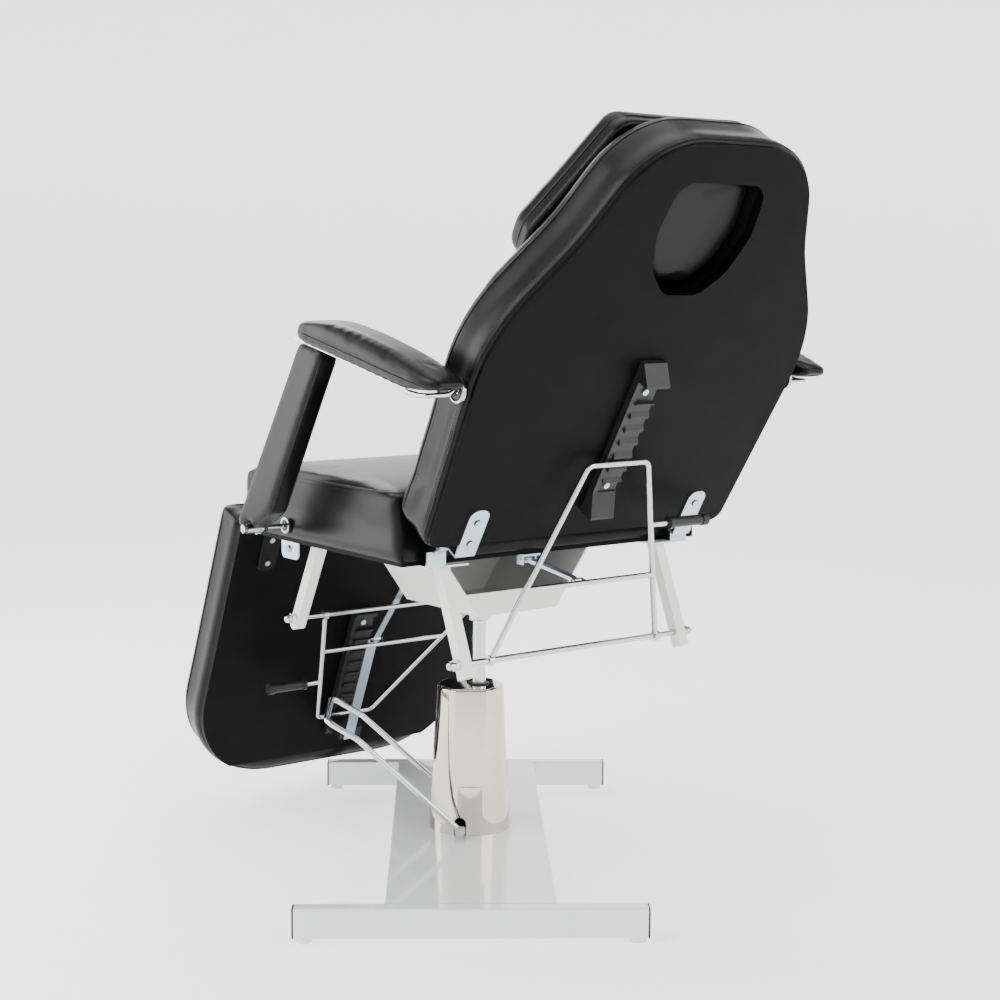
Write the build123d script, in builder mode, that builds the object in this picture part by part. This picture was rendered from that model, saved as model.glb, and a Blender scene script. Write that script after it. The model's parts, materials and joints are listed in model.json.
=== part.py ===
from build123d import *
import os
from math import atan2, cos, degrees, radians, sin, sqrt

os.makedirs("parts", exist_ok=True)

# Reclining treatment bed on a hydraulic pedestal. Millimetres, real size.
# +X is the occupant's left, +Y is towards the backrest, +Z is up.
# The origin is on the pump's axis, at the floor.

# ---------------------------------------------------------------- driving dimensions
BASE_TURN = 144.36            # how far the base has been turned under the seat
BASE_U, BASE_V = -17.1, 2.4   # centre of the base, from the pump's axis
BAR_LENGTH = 560.0
BAR_SPACING = 863.8
BAR_WIDTH, BAR_HEIGHT = 28.0, 48.7
PAD_HEIGHT = 8.0
TUBE_WALL = 2.0
PLATE_WIDTH = 273.0
PLATE_TOP = PAD_HEIGHT + BAR_HEIGHT
SHEET = 3.0

COVER_U = -14.8               # the cover's axis, from the pump's axis
COVER_FOOT_R, COVER_TOP_R = 72.5, 59.0
COVER_TOP = 315.3
COVER_WALL = 2.0
PISTON_R = 12.5
RUNNING = 0.05                # radial clearance of every turning or sliding fit

PEDAL_U, PEDAL_Z = -32.5, 72.0
PEDAL_ARM_V = 88.0
ROD_R = 5.0

SEAT_BOTTOM, SEAT_SEAM, SEAT_CROWN = 580.0, 692.0, 712.0
SEAT_HALF = 319.0
BOARD = 18.0                  # plywood thickness
SKIRT = 8.0                   # padding around each board's edge

BACK_LEAN, LEG_LEAN = 30.08, 22.5
BACK_Y, BACK_Z = 274.1, 610.6
BACK_TOP = 717.0
BACK_THICK = 100.0
LEG_Y, LEG_Z = -291.9, 597.0
LEG_HALF, LEG_LENGTH, LEG_THICK = 318.0, 592.0, 92.0

BACK_HINGE = (250.0, 613.0)   # y, z
LEG_HINGE = (-305.0, 590.0)
REAR_ROD = (267.1, 424.9)
FRONT_ROD = (-230.8, 422.9)
BACK_BAR = (369.3, 740.0)
LEG_BAR = (-445.7, 172.8)
PIN_R = 4.0

ARM_FOOT = (-126.0, 609.0)    # y, z of the bolt that carries an arm
ELBOW = (48.0, 911.0)
ARM_REAR = (397.0, 868.0)
NOTCH_PITCH = 25.4

# ---------------------------------------------------------------- planes
BASE = Plane(origin=(0, 0, 0), x_dir=(cos(radians(BASE_TURN)), sin(radians(BASE_TURN)), 0), z_dir=(0, 0, 1))
BASE_CENTRE = BASE.from_local_coords((BASE_U, BASE_V, 0))
CENTRED = Plane(origin=BASE_CENTRE, x_dir=BASE.x_dir, z_dir=(0, 0, 1))
PLATE_END = Plane(origin=BASE_CENTRE, x_dir=BASE.x_dir, z_dir=-BASE.y_dir)
BAR_END = Plane(origin=BASE_CENTRE, x_dir=BASE.y_dir, z_dir=BASE.x_dir)
COVER_AXIS = BASE.from_local_coords((COVER_U, 0, 0))
COVER_SIDE = Plane(origin=COVER_AXIS, x_dir=-BASE.y_dir, z_dir=-BASE.x_dir)
COVER_FRONT = Plane(origin=COVER_AXIS, x_dir=BASE.x_dir, z_dir=-BASE.y_dir)
PUMP_FRONT = Plane(origin=(0, 0, 0), x_dir=BASE.x_dir, z_dir=-BASE.y_dir)


def panel_plane(y, z, lean):
    """Plane of a panel's rear face: x across, y up the panel, z out of its front."""
    angle = radians(lean)
    return Plane(origin=(0, y, z), x_dir=(1, 0, 0), z_dir=(0, -cos(angle), sin(angle)))


BACK = panel_plane(BACK_Y, BACK_Z, BACK_LEAN)
LEG = panel_plane(LEG_Y, LEG_Z, LEG_LEAN)
# Side views of the two panels: x runs along the panel, y out of its rear face.
BACK_SIDE = Plane(origin=(0, BACK_Y, BACK_Z), x_dir=BACK.y_dir, z_dir=(-1, 0, 0))
LEG_SIDE = Plane(origin=(0, LEG_Y, LEG_Z), x_dir=-LEG.y_dir, z_dir=(1, 0, 0))


# ---------------------------------------------------------------- helpers
def round_bar(start, end, radius, mode=Mode.ADD):
    """A straight round bar, or a drilled hole, from start to end."""
    run = Vector(*end) - Vector(*start)
    with BuildSketch(Plane(origin=start, z_dir=run)) as section:
        Circle(radius)
    extrude(section.sketch, amount=run.length, mode=mode)


def hex_bar(start, end, radius, mode=Mode.ADD):
    """A six-sided bar, as of a nut or a bolt's head."""
    run = Vector(*end) - Vector(*start)
    with BuildSketch(Plane(origin=start, z_dir=run)) as section:
        RegularPolygon(radius, 6)
    extrude(section.sketch, amount=run.length, mode=mode)


def side_profile(points, x_from, x_to, mode=Mode.ADD):
    """A straight-sided profile in the YZ plane, extruded across."""
    with BuildSketch(Plane.YZ.offset(x_from)) as section:
        Polygon(*points, align=None)
    extrude(section.sketch, amount=x_to - x_from, mode=mode)


def folded_strip(plane, points, width, thickness=SHEET, mode=Mode.ADD):
    """Sheet metal folded along points on plane and width deep along its normal."""
    with BuildSketch(plane) as section:
        with BuildLine() as fold:
            Polyline(*points)
        trace(fold.line, line_width=thickness)
    extrude(section.sketch, amount=width, mode=mode)


def both_sides():
    """Repeats what has been built on the other side of the bed."""
    mirror(about=Plane.YZ)


def on_base(u, v, z):
    return tuple(BASE.from_local_coords((u, v, z)))


def on_panel(plane, x, along, out):
    return tuple(plane.from_local_coords((x, along, out)))


# ================================================================ base
plate_half_length = BAR_SPACING / 2 - BAR_WIDTH / 2
bolt_circle = 45.0

with BuildPart() as base_plate:
    with BuildSketch(PLATE_END):
        with Locations((0, PLATE_TOP - 15)):
            folded = Rectangle(PLATE_WIDTH, 30)
        fillet(folded.vertices().group_by(Axis.Y)[-1], 4)
        with Locations((0, PLATE_TOP - SHEET - 13.5)):
            Rectangle(PLATE_WIDTH - 2 * SHEET, 27, mode=Mode.SUBTRACT)
    extrude(amount=plate_half_length, both=True)
    with BuildSketch(BASE.offset(PLATE_TOP)):
        with PolarLocations(bolt_circle, 4, 45):
            Circle(3.5)
    extrude(amount=-10, mode=Mode.SUBTRACT)

with BuildPart() as cross_bars:
    with BuildSketch(BAR_END):
        with Locations((-BAR_SPACING / 2, PAD_HEIGHT + BAR_HEIGHT / 2), (BAR_SPACING / 2, PAD_HEIGHT + BAR_HEIGHT / 2)):
            RectangleRounded(BAR_WIDTH, BAR_HEIGHT, 3)
            Rectangle(BAR_WIDTH - 2 * TUBE_WALL, BAR_HEIGHT - 2 * TUBE_WALL, mode=Mode.SUBTRACT)
    extrude(amount=BAR_LENGTH / 2 - 3, both=True)

with BuildPart() as end_caps:
    with BuildSketch(BAR_END.offset(BAR_LENGTH / 2 - 3)):
        with Locations((-BAR_SPACING / 2, PAD_HEIGHT + BAR_HEIGHT / 2), (BAR_SPACING / 2, PAD_HEIGHT + BAR_HEIGHT / 2)):
            RectangleRounded(BAR_WIDTH, BAR_HEIGHT, 3)
    extrude(amount=3)
    with BuildSketch(BAR_END.offset(BAR_LENGTH / 2 - 15)):
        with Locations((-BAR_SPACING / 2, PAD_HEIGHT + BAR_HEIGHT / 2), (BAR_SPACING / 2, PAD_HEIGHT + BAR_HEIGHT / 2)):
            Rectangle(BAR_WIDTH - 2 * TUBE_WALL - 0.2, BAR_HEIGHT - 2 * TUBE_WALL - 0.2)
    extrude(amount=12)
    mirror(about=BAR_END)

with BuildPart() as floor_pads:
    with BuildSketch(CENTRED):
        with GridLocations(BAR_LENGTH - 36, BAR_SPACING, 2, 2):
            Circle(13)
    extrude(amount=PAD_HEIGHT)
    chamfer(floor_pads.faces().group_by(Axis.Z)[0].edges(), 1)

# ---------------------------------------------------------------- pump
pump_top = 300.0

with BuildPart() as pump_body:
    with BuildSketch(BASE.offset(PLATE_TOP)):
        Circle(52)
    extrude(amount=6)
    with BuildSketch(BASE.offset(PLATE_TOP)):
        Circle(38)
    extrude(amount=pump_top - PLATE_TOP)
    with BuildSketch(BASE.offset(PLATE_TOP + 6)):
        with Locations((-26, 0)):
            Rectangle(52, 50)
    extrude(amount=24)
    with BuildSketch(BASE.offset(pump_top)):
        Circle(PISTON_R + RUNNING)
    extrude(amount=-(pump_top - 70), mode=Mode.SUBTRACT)
    round_bar(on_base(PEDAL_U, -60, PEDAL_Z), on_base(PEDAL_U, 60, PEDAL_Z), ROD_R + RUNNING, Mode.SUBTRACT)
    with BuildSketch(BASE.offset(PLATE_TOP + 6)):
        with PolarLocations(bolt_circle, 4, 45):
            Circle(3.5)
    extrude(amount=-6, mode=Mode.SUBTRACT)

facet_top, facet_foot, ledge_z = 52.5, 62.4, 143.0

with BuildPart() as pump_cover:
    with BuildSketch(COVER_FRONT):
        with BuildLine():
            Polyline((0, PLATE_TOP), (COVER_FOOT_R, PLATE_TOP), (COVER_TOP_R, COVER_TOP), (0, COVER_TOP), close=True)
        make_face()
    revolve(axis=Axis(COVER_AXIS, (0, 0, 1)))
    with BuildSketch(COVER_SIDE):
        Polygon((facet_foot, ledge_z), (90, ledge_z), (90, 330), (facet_top - 0.85, 330), align=None)
    extrude(amount=70, both=True, mode=Mode.SUBTRACT)
    fillet(pump_cover.faces().sort_by(Axis.Z)[-1].edges(), 6)
    offset(amount=-COVER_WALL, openings=pump_cover.faces().sort_by(Axis.Z)[0])
    with BuildSketch(BASE.offset(COVER_TOP)):
        Circle(21)
    extrude(amount=-14, mode=Mode.SUBTRACT)
    with BuildSketch(COVER_FRONT):
        with Locations((PEDAL_U - COVER_U, PLATE_TOP + 11)):
            Rectangle(21, 22)
        with Locations((PEDAL_U - COVER_U, PLATE_TOP + 22)):
            Circle(10.5)
    extrude(amount=90, both=True, mode=Mode.SUBTRACT)

with BuildPart() as pump_bolts:
    with BuildSketch(BASE.offset(PLATE_TOP - 8)):
        with PolarLocations(bolt_circle, 4, 45):
            Circle(3.4)
    extrude(amount=14)
    with BuildSketch(BASE.offset(PLATE_TOP + 6)):
        with PolarLocations(bolt_circle, 4, 45):
            RegularPolygon(5.4, 6)
    extrude(amount=4)

with BuildPart() as gland_ring:
    with BuildSketch(BASE.offset(pump_top)):
        Circle(19)
        Circle(PISTON_R + RUNNING, mode=Mode.SUBTRACT)
    extrude(amount=18)
    chamfer(gland_ring.faces().sort_by(Axis.Z)[-1].edges(), 1.2)

with BuildPart() as pedal_shaft:
    round_bar(on_base(PEDAL_U, -97, PEDAL_Z), on_base(PEDAL_U, 97, PEDAL_Z), ROD_R)
    for side in (-1, 1):
        round_bar(on_base(PEDAL_U, side * 94, PEDAL_Z), on_base(PEDAL_U, side * 98, PEDAL_Z), 7)

# ================================================================ lift
collar_top = 460.5

with BuildPart() as piston_rod:
    with BuildSketch(Plane.XY.offset(72)):
        Circle(PISTON_R)
    extrude(amount=441 - 72)

with BuildPart() as head_collar:
    with BuildSketch(Plane.XY.offset(431)):
        Circle(21)
    extrude(amount=collar_top - 431)
    chamfer(head_collar.edges().group_by(Axis.Z)[0], 1.5)
    with BuildSketch(Plane.XY.offset(collar_top)):
        Circle(10)
    extrude(amount=14)
    with BuildSketch(Plane.XY.offset(431)):
        Circle(PISTON_R)
    extrude(amount=10, mode=Mode.SUBTRACT)

with BuildPart() as swivel_nut:
    with BuildSketch(Plane.XY.offset(464.3)):
        RegularPolygon(17, 6)
        Circle(10, mode=Mode.SUBTRACT)
    extrude(amount=8)

# ================================================================ pedal
pedal_foot = Vector(-38.5, 77.4)
pedal_bend = Vector(-212, 236)
pedal_end = Vector(-266, 268)

with BuildPart() as pedal_frame:
    with BuildLine() as bow:
        FilletPolyline(
            on_base(pedal_foot.X, PEDAL_ARM_V, pedal_foot.Y),
            on_base(pedal_bend.X, PEDAL_ARM_V, pedal_bend.Y),
            on_base(pedal_end.X, PEDAL_ARM_V, pedal_end.Y),
            on_base(pedal_end.X, -PEDAL_ARM_V, pedal_end.Y),
            on_base(pedal_bend.X, -PEDAL_ARM_V, pedal_bend.Y),
            on_base(pedal_foot.X, -PEDAL_ARM_V, pedal_foot.Y),
            radius=(60, 18, 18, 60),
        )
    with BuildSketch(bow.line ^ 0):
        Circle(ROD_R)
    sweep(path=bow.line)
    for side in (-1, 1):
        eye = (on_base(PEDAL_U, side * 82.5, PEDAL_Z), on_base(PEDAL_U, side * 93, PEDAL_Z))
        round_bar(*eye, 9)
    for side in (-1, 1):
        eye = (on_base(PEDAL_U, side * 80, PEDAL_Z), on_base(PEDAL_U, side * 96, PEDAL_Z))
        round_bar(*eye, ROD_R + RUNNING, Mode.SUBTRACT)

# ================================================================ seat frame
tray_front, tray_back = -102.0, 111.0
tray_foot, tray_bottom = 85.0, 461.0
tray_slope = 83.0 / 116.0
tray_top = SEAT_BOTTOM - SHEET
wall_run = SHEET * sqrt(1 + tray_slope**2)
bolt_spots = [(side * 182, y) for side in (-1, 1) for y in (-70, 80)]


def tray_half(z, inset=0.0):
    return tray_foot + (z - tray_bottom) * tray_slope - inset


with BuildPart() as seat_tray:
    with BuildSketch(Plane.XZ.offset(-tray_back)):
        Polygon(
            (-tray_foot, tray_bottom), (tray_foot, tray_bottom), (tray_half(tray_top), tray_top),
            (197, tray_top), (197, SEAT_BOTTOM), (-197, SEAT_BOTTOM), (-197, tray_top),
            (-tray_half(tray_top), tray_top), align=None,
        )
    extrude(amount=tray_back - tray_front)
    inner_foot, inner_top = tray_bottom + SHEET, SEAT_BOTTOM + 1
    with BuildSketch(Plane.XZ.offset(-tray_back)):
        Polygon(
            (-tray_half(inner_foot, wall_run), inner_foot), (tray_half(inner_foot, wall_run), inner_foot),
            (tray_half(inner_top, wall_run), inner_top), (-tray_half(inner_top, wall_run), inner_top), align=None,
        )
    extrude(amount=tray_back - tray_front - SHEET, mode=Mode.SUBTRACT)
    with BuildSketch(Plane.XZ.offset(-tray_back)):
        lip_top = tray_bottom + 40
        Polygon(
            (-tray_foot, tray_bottom), (tray_foot, tray_bottom),
            (tray_half(lip_top), lip_top), (-tray_half(lip_top), lip_top), align=None,
        )
    extrude(amount=SHEET)
    with BuildSketch(Plane.XY.offset(tray_bottom)):
        Circle(10 + RUNNING)
    extrude(amount=SHEET, mode=Mode.SUBTRACT)
    with BuildSketch(Plane.XY.offset(tray_top)):
        with Locations(bolt_spots):
            Circle(3.2)
    extrude(amount=SHEET, mode=Mode.SUBTRACT)

with BuildPart() as tray_bolts:
    with BuildSketch(Plane.XY.offset(tray_top - 4.5)):
        with Locations(bolt_spots):
            RegularPolygon(6, 6)
    extrude(amount=4.5)
    with BuildSketch(Plane.XY.offset(tray_top)):
        with Locations(bolt_spots):
            Circle(3)
    extrude(amount=14)


def leg_tube(rod, lean_y, lean_z, overshoot, round_foot):
    """One square leg from under the seat, past the rod it carries, at x = 230."""
    rise = (tray_top + 14 - rod[1]) / lean_z
    foot = (230, rod[0] - lean_y * overshoot, rod[1] - lean_z * overshoot)
    along = Vector(0, lean_y, lean_z)
    with BuildSketch(Plane(origin=foot, x_dir=(1, 0, 0), z_dir=along)) as outer:
        Rectangle(20, 20)
    extrude(outer.sketch, amount=rise + overshoot)
    if round_foot:
        with BuildSketch(Plane.YZ.offset(220)) as tip:
            with Locations((foot[1], foot[2])):
                Circle(10)
        extrude(tip.sketch, amount=20)
    else:
        with BuildSketch(Plane(origin=foot, x_dir=(1, 0, 0), z_dir=along)) as inner:
            Rectangle(16, 16)
        extrude(inner.sketch, amount=rise + overshoot - 24, mode=Mode.SUBTRACT)
    split(bisect_by=Plane.XY.offset(tray_top), keep=Keep.BOTTOM)


leg_foot_x = (198.0, 239.6)

with BuildPart() as rear_legs:
    leg_tube(REAR_ROD, -0.3818, 0.9243, 24, False)
    with BuildSketch(Plane.XY.offset(tray_top)):
        with Locations((sum(leg_foot_x) / 2, 204)):
            Rectangle(leg_foot_x[1] - leg_foot_x[0], 66)
    extrude(amount=SHEET)
    round_bar((215, *REAR_ROD), (245, *REAR_ROD), ROD_R + RUNNING, Mode.SUBTRACT)
    both_sides()

with BuildPart() as front_legs:
    leg_tube(FRONT_ROD, 0.447, 0.8945, 13, True)
    with BuildSketch(Plane.XY.offset(tray_top)):
        with Locations((sum(leg_foot_x) / 2, -154)):
            Rectangle(leg_foot_x[1] - leg_foot_x[0], 66)
    extrude(amount=SHEET)
    round_bar((215, *FRONT_ROD), (245, *FRONT_ROD), ROD_R + RUNNING, Mode.SUBTRACT)
    both_sides()

rod_end = 252.0

with BuildPart() as cross_rods:
    for rod in (REAR_ROD, FRONT_ROD):
        round_bar((-rod_end, *rod), (rod_end, *rod), ROD_R)

with BuildPart() as cap_nuts:
    for rod in (REAR_ROD, FRONT_ROD):
        hex_bar((240.3, *rod), (249, *rod), 9.6)
        round_bar((249, *rod), (254, *rod), 7.6)
        with Locations((254, *rod)):
            Sphere(7.6)
        round_bar((239, *rod), (rod_end, *rod), ROD_R, Mode.SUBTRACT)
    both_sides()

# ---------------------------------------------------------------- hinges on the seat
arm_x, knuckle_x, far_knuckle_x = (240.0, 277.0), (250.5, 264.5), (235.0, 249.5)
knuckle_r = 6.5


def knuckle(axis, x_from, x_to, mode=Mode.ADD, radius=knuckle_r):
    round_bar((x_from, *axis), (x_to, *axis), radius, mode)


with BuildPart() as back_hinge_arms:
    mid = tray_top + SHEET / 2
    arm_plane = Plane.YZ.offset(arm_x[0])
    folded_strip(arm_plane, ((158, mid), (231.5, mid), (231.5, 603)), arm_x[1] - arm_x[0])
    tongue = Plane.YZ.offset(knuckle_x[0])
    folded_strip(tongue, ((231.5, 600), BACK_HINGE), knuckle_x[1] - knuckle_x[0])
    knuckle(BACK_HINGE, *knuckle_x)
    knuckle(BACK_HINGE, 249, 266, Mode.SUBTRACT, PIN_R + RUNNING)
    both_sides()

with BuildPart() as leg_hinge_arms:
    folded_strip(arm_plane, ((-215, mid), (-290, mid)), arm_x[1] - arm_x[0])
    folded_strip(tongue, ((-288, mid), (-292, mid), LEG_HINGE), knuckle_x[1] - knuckle_x[0])
    knuckle(LEG_HINGE, *knuckle_x)
    knuckle(LEG_HINGE, 249, 266, Mode.SUBTRACT, PIN_R + RUNNING)
    both_sides()

with BuildPart() as hinge_pins:
    for axis in (BACK_HINGE, LEG_HINGE):
        knuckle(axis, 232.5, 267, radius=PIN_R)
        knuckle(axis, 231.5, 234.2, radius=6)
        knuckle(axis, 265, 267.5, radius=6)
    both_sides()

# ---------------------------------------------------------------- seat board and cushion
seat_front, seat_back = -290.0, 221.0
rail_x = (289.0, 309.0)
rail_y = (-190.0, -60.0)
rail_top = 626.0


def seat_board_solid(mode=Mode.ADD):
    with BuildSketch(Plane.XY.offset(SEAT_BOTTOM)) as sheet:
        with Locations((0, (seat_front + seat_back) / 2)):
            Rectangle(2 * (SEAT_HALF - SKIRT), seat_back - seat_front - 2 * SKIRT)
    extrude(sheet.sketch, amount=BOARD, mode=mode)
    for side in (-1, 1):
        with BuildSketch(Plane.XY.offset(SEAT_BOTTOM + BOARD)) as rail:
            with Locations((side * sum(rail_x) / 2, sum(rail_y) / 2)):
                Rectangle(rail_x[1] - rail_x[0], rail_y[1] - rail_y[0])
        extrude(rail.sketch, amount=rail_top - SEAT_BOTTOM - BOARD, mode=mode)


with BuildPart() as seat_board:
    seat_board_solid()
    for side in (-1, 1):
        round_bar((side * 295, *ARM_FOOT), (side * 312, *ARM_FOOT), PIN_R + RUNNING, Mode.SUBTRACT)
    with BuildSketch(Plane.XY.offset(SEAT_BOTTOM)):
        with Locations(bolt_spots):
            Circle(3 + RUNNING)
    extrude(amount=12, mode=Mode.SUBTRACT)

with BuildPart() as seat_cushion:
    with BuildSketch(Plane.YZ.offset(-SEAT_HALF)) as seat_profile:
        with BuildLine():
            Polyline((200, SEAT_SEAM), (seat_back, SEAT_BOTTOM + 1), (seat_front, SEAT_BOTTOM + 1), (seat_front, SEAT_SEAM))
            ThreePointArc((seat_front, SEAT_SEAM), (-45, SEAT_CROWN), (200, SEAT_SEAM))
        make_face()
        fillet(seat_profile.vertices().group_by(Axis.Y)[-1], 16)
    extrude(amount=2 * SEAT_HALF)
    fillet(seat_cushion.edges().filter_by_position(Axis.Z, SEAT_SEAM - 20, 800).filter_by_position(
        Axis.X, -SEAT_HALF - 1, -SEAT_HALF + 1), 14)
    fillet(seat_cushion.edges().filter_by_position(Axis.Z, SEAT_SEAM - 20, 800).filter_by_position(
        Axis.X, SEAT_HALF - 1, SEAT_HALF + 1), 14)
    seat_board_solid(Mode.SUBTRACT)
    for side in (-1, 1):
        round_bar((side * 308, *ARM_FOOT), (side * 322, *ARM_FOOT), PIN_R + 0.6, Mode.SUBTRACT)

# ---------------------------------------------------------------- arm bolts and small seat hardware
with BuildPart() as arm_bolts:
    round_bar((296, *ARM_FOOT), (403, *ARM_FOOT), PIN_R)
    hex_bar((357.5, *ARM_FOOT), (365, *ARM_FOOT), 8)
    hex_bar((397, *ARM_FOOT), (403, *ARM_FOOT), 8)
    both_sides()

with BuildPart() as arm_washers:
    round_bar((SEAT_HALF, *ARM_FOOT), (322, *ARM_FOOT), 14)
    round_bar((SEAT_HALF, *ARM_FOOT), (322, *ARM_FOOT), PIN_R + RUNNING, Mode.SUBTRACT)
    both_sides()

tab_screw = (-145.0, 565.0)

with BuildPart() as side_tabs:
    with BuildSketch(Plane.YZ.offset(300)):
        with Locations((-141, 564)):
            tab = Rectangle(54, 32)
        fillet(tab.vertices().group_by(Axis.Y)[0], 10)
        with Locations(tab_screw):
            Circle(3 + RUNNING, mode=Mode.SUBTRACT)
    extrude(amount=SHEET)
    with BuildSketch(Plane.XY.offset(tray_top)):
        with Locations((287, -141)):
            Rectangle(32, 54)
    extrude(amount=SHEET)
    both_sides()

with BuildPart() as tab_screws:
    round_bar((292, *tab_screw), (303, *tab_screw), 3)
    hex_bar((294.5, *tab_screw), (300, *tab_screw), 6)
    round_bar((303, *tab_screw), (306.5, *tab_screw), 6.5)
    both_sides()

back_anchor = (54.0, 203.0, 569.0)
back_lug_x = 22.0
leg_anchor = (14.0, -127.0, 567.0)

with BuildPart() as link_anchors:
    for anchor in (back_anchor, leg_anchor):
        with BuildSketch(Plane.XY.offset(tray_top)):
            with Locations((anchor[0], anchor[1])):
                Rectangle(34, 30)
        extrude(amount=SHEET)
        for side in (-1, 1):
            with BuildSketch(Plane.YZ.offset(anchor[0] + side * 13 - 1.25)):
                with Locations((anchor[1], 570)):
                    Rectangle(16, 17)
            extrude(amount=2.5)
        round_bar((anchor[0] - 15.5, *anchor[1:]), (anchor[0] + 15.5, *anchor[1:]), 3)

# ================================================================ backrest
# Corners of the padded panel's right half (half width, height up the panel), and their radii.
back_corners = [(316, 0), (340, 380), (232, 545), (156, BACK_TOP)]
back_radii = [30, 260, 300, 153]
hole_corners = [(34, 462), (72, 500), (93, 562), (84, 644)]
hole_radii = [34, 60, 60, 30]


def mirrored_outline(corners, radii):
    """Closed outline with round corners, from the corners of its right half."""
    left = [(-x, y) for x, y in reversed(corners)]
    with BuildLine() as outline:
        FilletPolyline(*corners, *left, radius=[*radii, *reversed(radii)], close=True)
    make_face(outline.line)


def back_outline():
    mirrored_outline(back_corners, back_radii)


def face_hole(grow=0.0):
    """Shield-shaped face opening, wide at the top."""
    mirrored_outline(hole_corners, hole_radii)
    if grow:
        offset(amount=grow)


back_rail_t, back_rail_x = (240.0, 330.0), (295.0, 315.0)
rear_pivot_t = 286.0
pivot_in = 23.0               # depth of the arm pivots in front of the rear face
hinge_screws = [(side * 230, t) for side in (-1, 1) for t in (12, 52)]
rack_screws = [(0, 112), (0, 291)]


def back_board_blank(mode=Mode.ADD):
    with BuildSketch(BACK) as sheet:
        back_outline()
        offset(amount=-SKIRT)
    extrude(sheet.sketch, amount=BOARD, mode=mode)
    for side in (-1, 1):
        with BuildSketch(BACK.offset(BOARD)) as rail:
            with Locations((side * sum(back_rail_x) / 2, sum(back_rail_t) / 2)):
                Rectangle(back_rail_x[1] - back_rail_x[0], back_rail_t[1] - back_rail_t[0])
        extrude(rail.sketch, amount=26, mode=mode)


def arm_pivot_hole(x_from, x_to, radius):
    round_bar((x_from, *ARM_REAR), (x_to, *ARM_REAR), radius, Mode.SUBTRACT)


with BuildPart() as back_board:
    back_board_blank()
    with BuildSketch(BACK):
        face_hole(3)
    extrude(amount=BOARD, mode=Mode.SUBTRACT)
    with BuildSketch(BACK):
        with Locations(hinge_screws + rack_screws):
            Circle(2.3)
    extrude(amount=14, mode=Mode.SUBTRACT)
    for side in (-1, 1):
        arm_pivot_hole(side * 299, side * 317, PIN_R + RUNNING)

with BuildPart() as back_cushion:
    with BuildSketch(BACK.offset(1)):
        back_outline()
    extrude(amount=BACK_THICK - 1)
    front = back_cushion.faces().sort_by(Axis(BACK.origin, BACK.z_dir))[-1]
    fillet(front.edges(), 24)
    with BuildSketch(BACK):
        face_hole()
    extrude(amount=BACK_THICK + 5, mode=Mode.SUBTRACT)
    with BuildSketch(BACK_SIDE.offset(-SEAT_HALF - 30)) as lower_front:
        with Locations((24.5, -75.5)):
            Rectangle(59, 59)
        with Locations((54, -46)):
            Circle(56, mode=Mode.SUBTRACT)
    extrude(amount=2 * SEAT_HALF + 60, mode=Mode.SUBTRACT)
    back_board_blank(Mode.SUBTRACT)
    for side in (-1, 1):
        arm_pivot_hole(side * 314, side * 340, PIN_R + 0.6)

with BuildPart() as back_hinge_brackets:
    bracket_x = (211.0, 249.0)
    with BuildSketch(BACK):
        with Locations((230, 31)):
            plate = Rectangle(38, 90)
        fillet(plate.vertices().group_by(Axis.Y)[-1], 16)
        with Locations((230, 12), (230, 52)):
            Circle(2.3, mode=Mode.SUBTRACT)
    extrude(amount=-SHEET)
    with BuildSketch(BACK_SIDE.offset(-bracket_x[1])) as fold:
        with Locations((-12.5, -7)):
            Rectangle(SHEET, 20)
    extrude(amount=38)
    knuckle(BACK_HINGE, 249, 272, Mode.SUBTRACT, knuckle_r + 1.5)
    knuckle(BACK_HINGE, 205, 235, Mode.SUBTRACT, knuckle_r + 1.5)
    knuckle(BACK_HINGE, *far_knuckle_x)
    knuckle(BACK_HINGE, 230, 255, Mode.SUBTRACT, PIN_R + RUNNING)
    both_sides()

with BuildPart() as back_hinge_screws:
    with BuildSketch(BACK.offset(-SHEET)):
        with Locations(hinge_screws):
            Circle(5)
    extrude(amount=-2.6)
    with BuildSketch(BACK.offset(-SHEET)):
        with Locations(hinge_screws):
            Circle(2.2)
    extrude(amount=15)

# ---------------------------------------------------------------- backrest's notched rack
back_notches = [134.2 + NOTCH_PITCH * i for i in range(6)]
rack_half, rail_from = 24.0, 14.0


def rack_side_view(plane, points, x_from, x_to, normal):
    """Profile in a panel's side view, extruded from x_from to x_to."""
    start = -x_to if normal < 0 else x_from
    with BuildSketch(plane.offset(start)) as section:
        Polygon(*points, align=None)
    extrude(section.sketch, amount=x_to - x_from)


def saw_tooth_cuts(plane, notches, floor, top, x_from, x_to, normal):
    """Ratchet notches: a steep wall on the far side and a ramp on the near side."""
    start = -x_to if normal < 0 else x_from
    with BuildSketch(plane.offset(start)) as cuts:
        for s in notches:
            Polygon((s - 14, top + 1), (s - 6, floor), (s + 8, floor), (s + 8, top + 1), align=None)
    extrude(cuts.sketch, amount=x_to - x_from, mode=Mode.SUBTRACT)


with BuildPart() as back_rack:
    rack_side_view(BACK_SIDE, ((58, 0), (343, 0), (343, 9), (58, 9)), -rack_half, rack_half, -1)
    rack_side_view(BACK_SIDE, ((58, 5), (100, 5), (100, 12), (62, 30), (58, 30)), -rack_half, rack_half, -1)
    rack_side_view(BACK_SIDE, ((311, 5), (343, 5), (343, 7), (315, 33), (311, 33)), -rack_half, rack_half, -1)
    rack_side_view(BACK_SIDE, ((121, 5), (272, 5), (272, 16.5), (121, 16.5)), -rack_half, rail_from, -1)
    rack_side_view(BACK_SIDE, ((95, 5), (318, 5), (318, 12), (95, 12)), rail_from, rack_half, -1)
    saw_tooth_cuts(BACK_SIDE, back_notches, 11.3, 16.5, -rack_half, rail_from, -1)
    with BuildSketch(BACK):
        with Locations(rack_screws):
            Circle(2.4)
    extrude(amount=-20, mode=Mode.SUBTRACT)

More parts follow.
